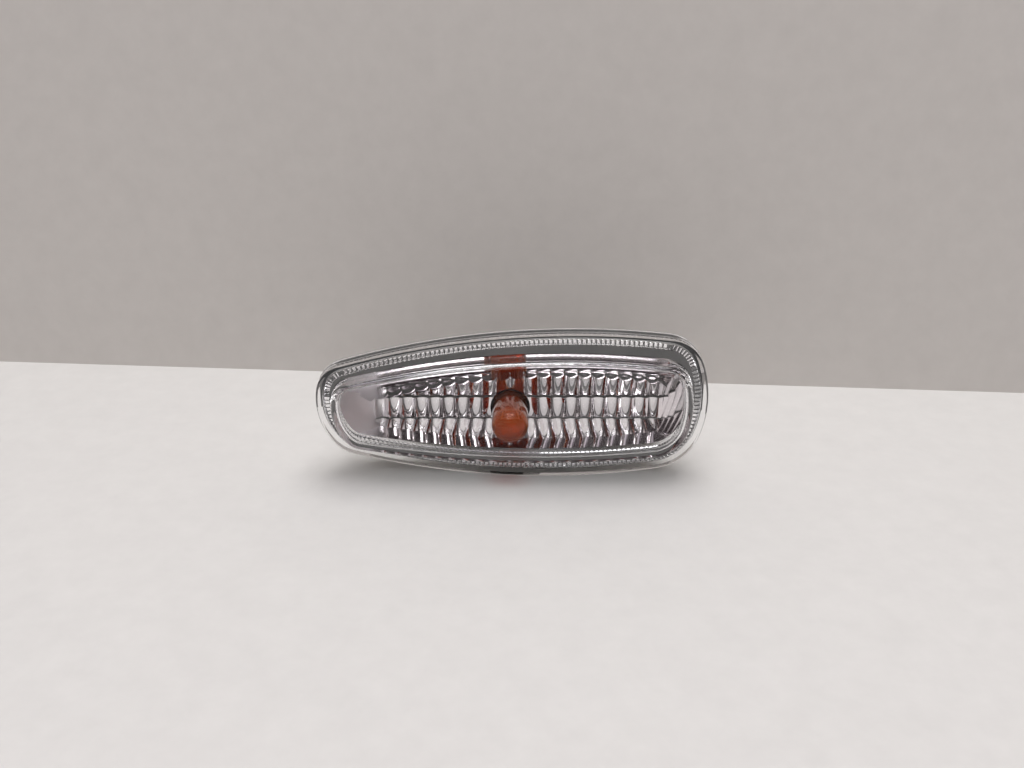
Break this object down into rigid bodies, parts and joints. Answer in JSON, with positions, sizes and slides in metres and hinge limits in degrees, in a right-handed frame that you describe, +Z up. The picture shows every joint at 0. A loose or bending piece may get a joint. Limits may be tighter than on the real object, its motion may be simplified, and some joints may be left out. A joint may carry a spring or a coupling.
{
  "type": "side repeater lamp",
  "caption": "Clear side repeater lamp for a car wing: domed lens with a serrated rim over a fluted bright bowl, an amber wedge bulb, a twist-in bulb holder, a panel gasket and a snap latch.",
  "frame": {"origin": "on the panel's outer face, where the gasket seats, level with the bulb's axis along the lamp and at the lamp's mid height", "axes": "+X along the lamp to its wide end, +Y into the panel, +Z up; the lens looks along -Y"},
  "size_m": [0.105, 0.0435, 0.0422],
  "materials": {
    "clear_lens": "clear polished moulding",
    "bright_bowl": "bright metallised moulding",
    "foam": "closed-cell foam",
    "amber_glass": "clear amber",
    "filament_wire": "drawn wire",
    "lead_wire": "drawn wire",
    "black_plastic": "fine moulded",
    "seal_rubber": "smooth",
    "contact_brass": "stamped"
  },
  "bodies": {
    "root": {"lens": "clear_lens", "reflector_housing": "bright_bowl", "panel_gasket": "foam", "bulb_glass": "amber_glass", "bulb_filament": "filament_wire", "bulb_lead_left": "lead_wire", "bulb_lead_right": "lead_wire", "bulb_holder": "black_plastic", "holder_seal": "seal_rubber", "contact_left": "contact_brass", "contact_right": "contact_brass"}
  },
  "joints": []
}
